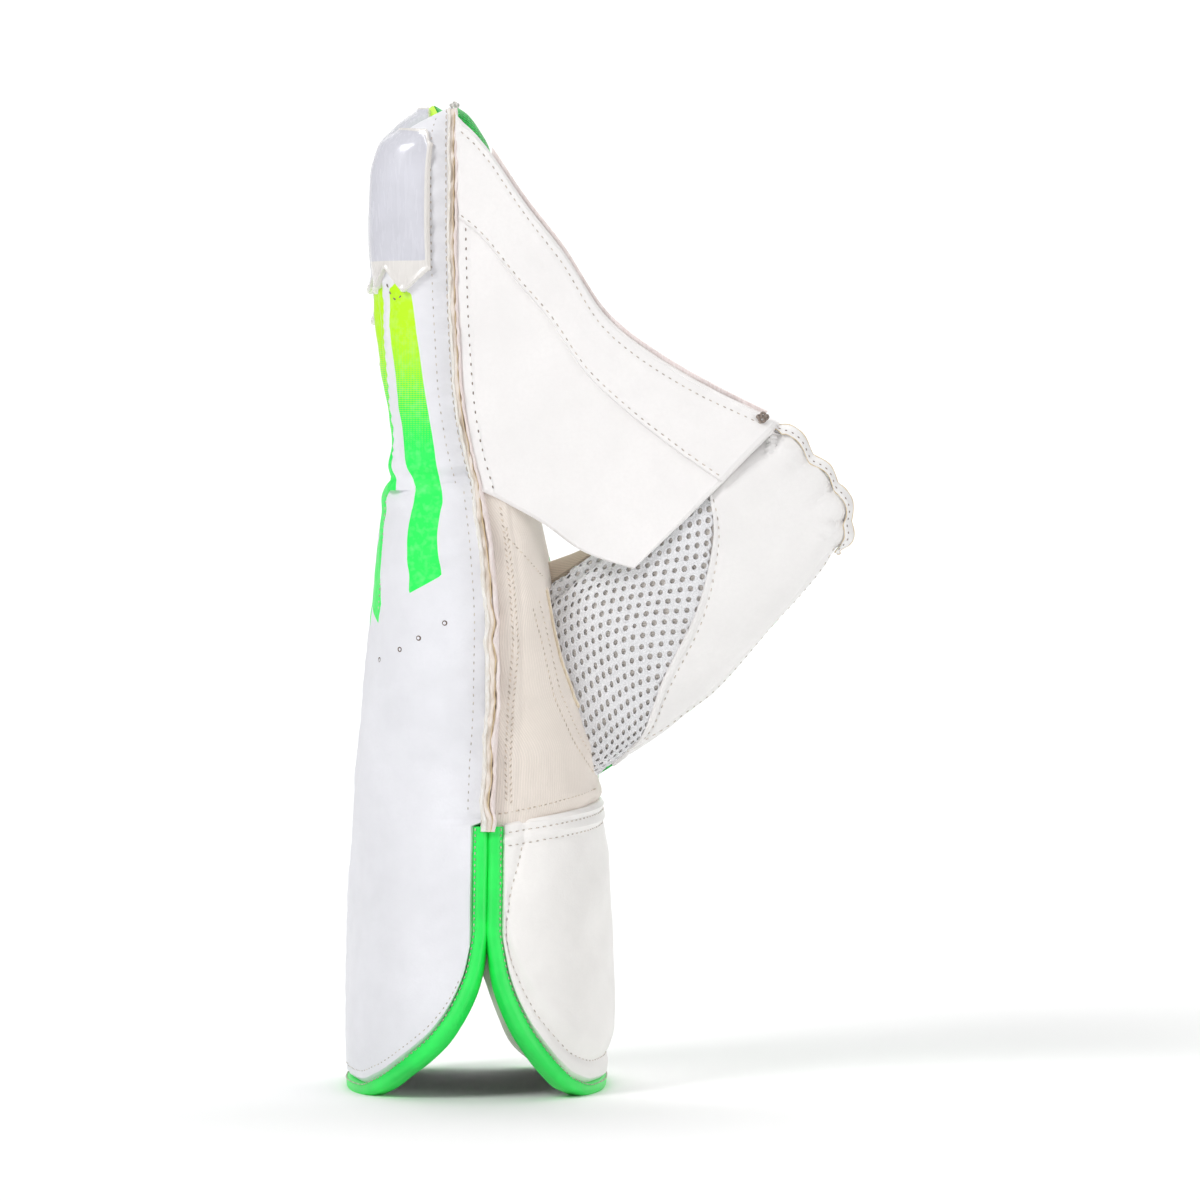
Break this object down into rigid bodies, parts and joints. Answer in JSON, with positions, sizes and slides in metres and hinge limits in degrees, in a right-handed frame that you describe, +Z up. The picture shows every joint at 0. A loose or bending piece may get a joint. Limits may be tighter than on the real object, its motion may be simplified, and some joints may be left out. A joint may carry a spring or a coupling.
{
  "type": "wicketkeeping glove",
  "caption": "Left-hand wicketkeeping glove standing on its cuff, white leather with a green pimpled rubber palm and a web to the thumb.",
  "frame": {"origin": "on the ground under the middle of the glove's box, where the cuff rests", "axes": "+Z up to the fingertips, +X to the palm side, -X to the back of the hand, -Y to the thumb side"},
  "size_m": [0.1656, 0.1214, 0.3173],
  "materials": {
    "back_leather": "fine-grained white leather, semi-matte",
    "cuff_leather": "soft off-white padded leather",
    "web_leather": "warm white smooth leather",
    "palm_rubber": "pimpled bright green rubber, matte",
    "binding_rubber": "smooth bright green rubber strip",
    "gusset_cloth": "ribbed beige cotton twill",
    "lining_cloth": "ribbed beige cotton",
    "airy_mesh": "white air mesh with oval holes",
    "clear_plastic": "clear plastic over white",
    "raw_edge": "raw cut edge, layered white and pinkish beige"
  },
  "bodies": {
    "root": {"hand_back": "back_leather", "cuff_palm_flap": "cuff_leather", "cuff_lining": "lining_cloth", "back_flap_binding": "binding_rubber", "palm_flap_binding": "binding_rubber", "gusset": "gusset_cloth", "palm_facing": "palm_rubber", "thumb_side_seam": "raw_edge", "little_side_seam": "raw_edge", "thumb_mesh": "airy_mesh", "thumb_leather": "cuff_leather", "thumb_palm": "palm_rubber", "thumb_gather": "cuff_leather", "web": "web_leather", "web_band": "web_leather", "web_backing": "raw_edge", "index_back": "back_leather", "index_palm": "palm_rubber", "index_cap": "clear_plastic", "middle_back": "back_leather", "middle_palm": "palm_rubber", "middle_cap": "clear_plastic", "ring_back": "back_leather", "ring_palm": "palm_rubber", "ring_cap": "clear_plastic", "little_back": "back_leather", "little_palm": "palm_rubber", "little_cap": "clear_plastic"}
  },
  "joints": []
}
